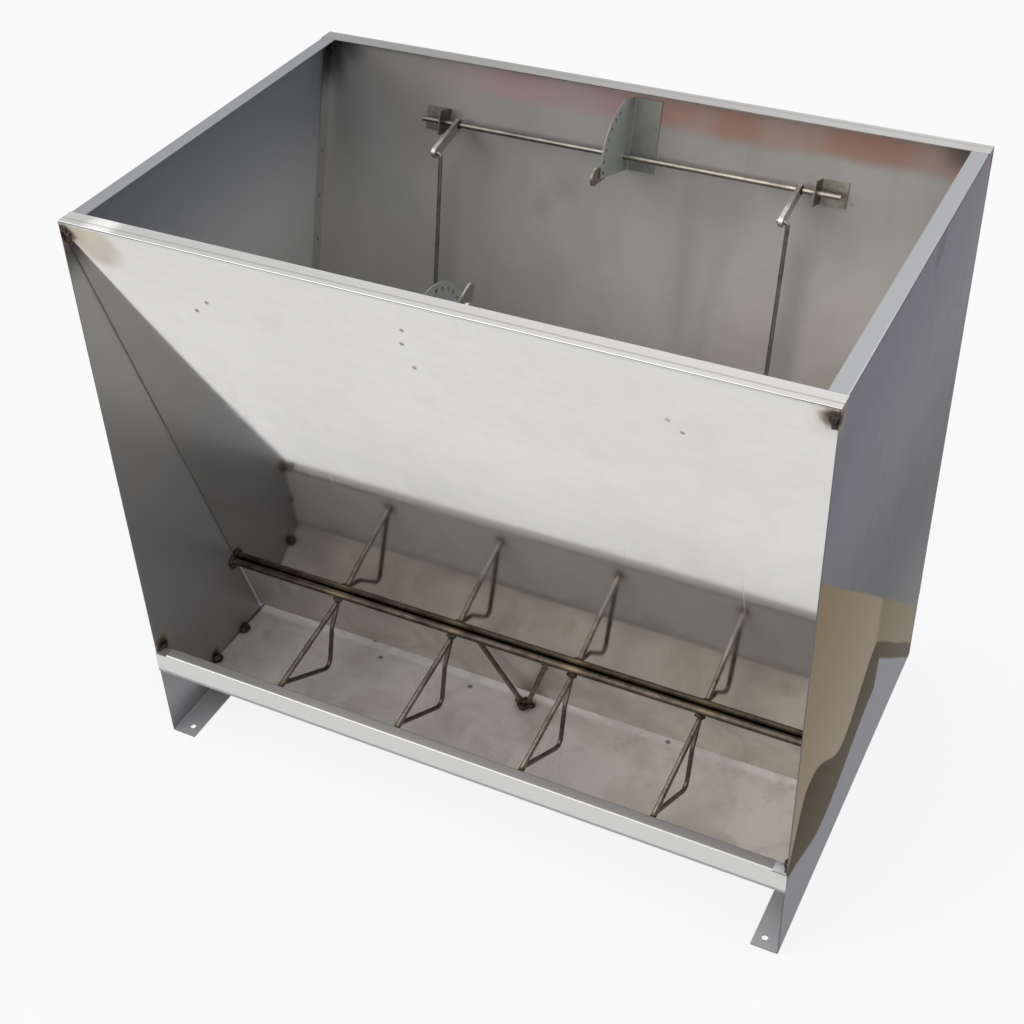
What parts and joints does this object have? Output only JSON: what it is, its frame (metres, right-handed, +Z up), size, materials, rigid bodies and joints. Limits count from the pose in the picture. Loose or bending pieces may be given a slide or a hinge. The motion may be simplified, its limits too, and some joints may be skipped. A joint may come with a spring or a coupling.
{
  "type": "livestock hopper feeder",
  "caption": "Double-sided stainless sheet hopper feeder with a trough on each long side, rod dividers and lever-set feed gates.",
  "frame": {"origin": "floor level under the middle of the feeder", "axes": "+Z up, +X along the feeder, -Y to the front side"},
  "size_m": [1, 0.65, 0.9],
  "materials": {
    "end_panel_steel": "cold rolled stainless sheet",
    "hopper_panel_steel": "bright stainless sheet",
    "trough_steel": "stainless sheet, dulled by use",
    "gate_steel": "stainless sheet, dulled by use",
    "gate_lug_steel": "stainless flat bar",
    "guard_bar_steel": "stainless round bar with rust film",
    "divider_steel": "stainless round bar",
    "divider_loop_steel": "stainless round bar, heat darkened",
    "brace_steel": "stainless round bar, heat darkened",
    "bracket_steel": "stainless sheet",
    "quadrant_steel": "stainless sheet",
    "shaft_steel": "bright stainless round bar",
    "crank_steel": "stainless flat bar",
    "lever_steel": "stainless flat bar with rust film",
    "lock_pin_steel": "bright stainless pin",
    "pull_rod_steel": "dull stainless round bar"
  },
  "bodies": {
    "frame": {"left_end_panel": "end_panel_steel", "right_end_panel": "end_panel_steel", "front_hopper_panel": "hopper_panel_steel", "back_hopper_panel": "hopper_panel_steel", "trough": "trough_steel", "front_guard_bar": "guard_bar_steel", "front_divider_1": "divider_steel", "front_divider_1_loop": "divider_loop_steel", "front_divider_2": "divider_steel", "front_divider_2_loop": "divider_loop_steel", "front_divider_3": "divider_steel", "front_divider_3_loop": "divider_loop_steel", "front_divider_4": "divider_steel", "front_divider_4_loop": "divider_loop_steel", "front_brace": "brace_steel", "front_bracket_left": "bracket_steel", "front_bracket_right": "bracket_steel", "front_quadrant": "quadrant_steel", "back_guard_bar": "guard_bar_steel", "back_divider_1": "divider_steel", "back_divider_1_loop": "divider_loop_steel", "back_divider_2": "divider_steel", "back_divider_2_loop": "divider_loop_steel", "back_divider_3": "divider_steel", "back_divider_3_loop": "divider_loop_steel", "back_divider_4": "divider_steel", "back_divider_4_loop": "divider_loop_steel", "back_brace": "brace_steel", "back_bracket_left": "bracket_steel", "back_bracket_right": "bracket_steel", "back_quadrant": "quadrant_steel"},
    "front_shaft_group": {"front_shaft": "shaft_steel", "front_crank_left": "crank_steel", "front_crank_right": "crank_steel", "front_lever": "lever_steel"},
    "front_pin_group": {"front_lock_pin": "lock_pin_steel"},
    "front_gate_group": {"front_gate": "gate_steel", "front_gate_lug_left": "gate_lug_steel", "front_gate_lug_right": "gate_lug_steel"},
    "front_pull_rod_left_group": {"front_pull_rod_left": "pull_rod_steel"},
    "front_pull_rod_right_group": {"front_pull_rod_right": "pull_rod_steel"},
    "back_shaft_group": {"back_shaft": "shaft_steel", "back_crank_left": "crank_steel", "back_crank_right": "crank_steel", "back_lever": "lever_steel"},
    "back_pin_group": {"back_lock_pin": "lock_pin_steel"},
    "back_gate_group": {"back_gate": "gate_steel", "back_gate_lug_left": "gate_lug_steel", "back_gate_lug_right": "gate_lug_steel"},
    "back_pull_rod_left_group": {"back_pull_rod_left": "pull_rod_steel"},
    "back_pull_rod_right_group": {"back_pull_rod_right": "pull_rod_steel"}
  },
  "joints": [
    {"name": "front_lever_turn", "type": "hinge", "parent": "frame", "child": "front_shaft_group", "pos_m": [0, -0.27549, 0.81161], "axis": [1, 0, 0], "range_deg": [0, 60]},
    {"name": "front_pull_rod_left_turn", "type": "hinge", "parent": "front_shaft_group", "child": "front_pull_rod_left_group", "pos_m": [-0.262, -0.20354, 0.81412], "axis": [1, 0, 0], "range_deg": [-60, 0]},
    {"name": "front_pull_rod_right_turn", "type": "hinge", "parent": "front_shaft_group", "child": "front_pull_rod_right_group", "pos_m": [0.262, -0.20354, 0.81412], "axis": [1, 0, 0], "range_deg": [-60, 0]},
    {"name": "front_gate_lift", "type": "slide", "parent": "frame", "child": "front_gate_group", "axis": [0, -0.2924, 0.9563], "range_m": [0, 0.0696]},
    {"name": "front_lock_pin_push", "type": "slide", "parent": "front_shaft_group", "child": "front_pin_group", "axis": [-1, 0, 0], "range_m": [0, 0.004]},
    {"name": "back_lever_turn", "type": "hinge", "parent": "frame", "child": "back_shaft_group", "pos_m": [0, 0.27549, 0.81161], "axis": [-1, 0, 0], "range_deg": [0, 72]},
    {"name": "back_pull_rod_left_turn", "type": "hinge", "parent": "back_shaft_group", "child": "back_pull_rod_left_group", "pos_m": [0.262, 0.20459, 0.79911], "axis": [-1, 0, 0], "range_deg": [-72, 0]},
    {"name": "back_pull_rod_right_turn", "type": "hinge", "parent": "back_shaft_group", "child": "back_pull_rod_right_group", "pos_m": [-0.262, 0.20459, 0.79911], "axis": [-1, 0, 0], "range_deg": [-72, 0]},
    {"name": "back_gate_lift", "type": "slide", "parent": "frame", "child": "back_gate_group", "axis": [0, 0.2924, 0.9563], "range_m": [0, 0.0842]},
    {"name": "back_lock_pin_push", "type": "slide", "parent": "back_shaft_group", "child": "back_pin_group", "axis": [1, 0, 0], "range_m": [0, 0.004]}
  ],
  "couplings": [
    {"joint": "front_pull_rod_left_turn", "follows": "front_lever_turn", "ratio": -0.9758},
    {"joint": "front_pull_rod_right_turn", "follows": "front_lever_turn", "ratio": -0.9758},
    {"joint": "front_gate_lift", "follows": "front_lever_turn", "m_per_rad": 0.0664},
    {"joint": "back_pull_rod_left_turn", "follows": "back_lever_turn", "ratio": -0.9857},
    {"joint": "back_pull_rod_right_turn", "follows": "back_lever_turn", "ratio": -0.9857},
    {"joint": "back_gate_lift", "follows": "back_lever_turn", "m_per_rad": 0.0669}
  ]
}
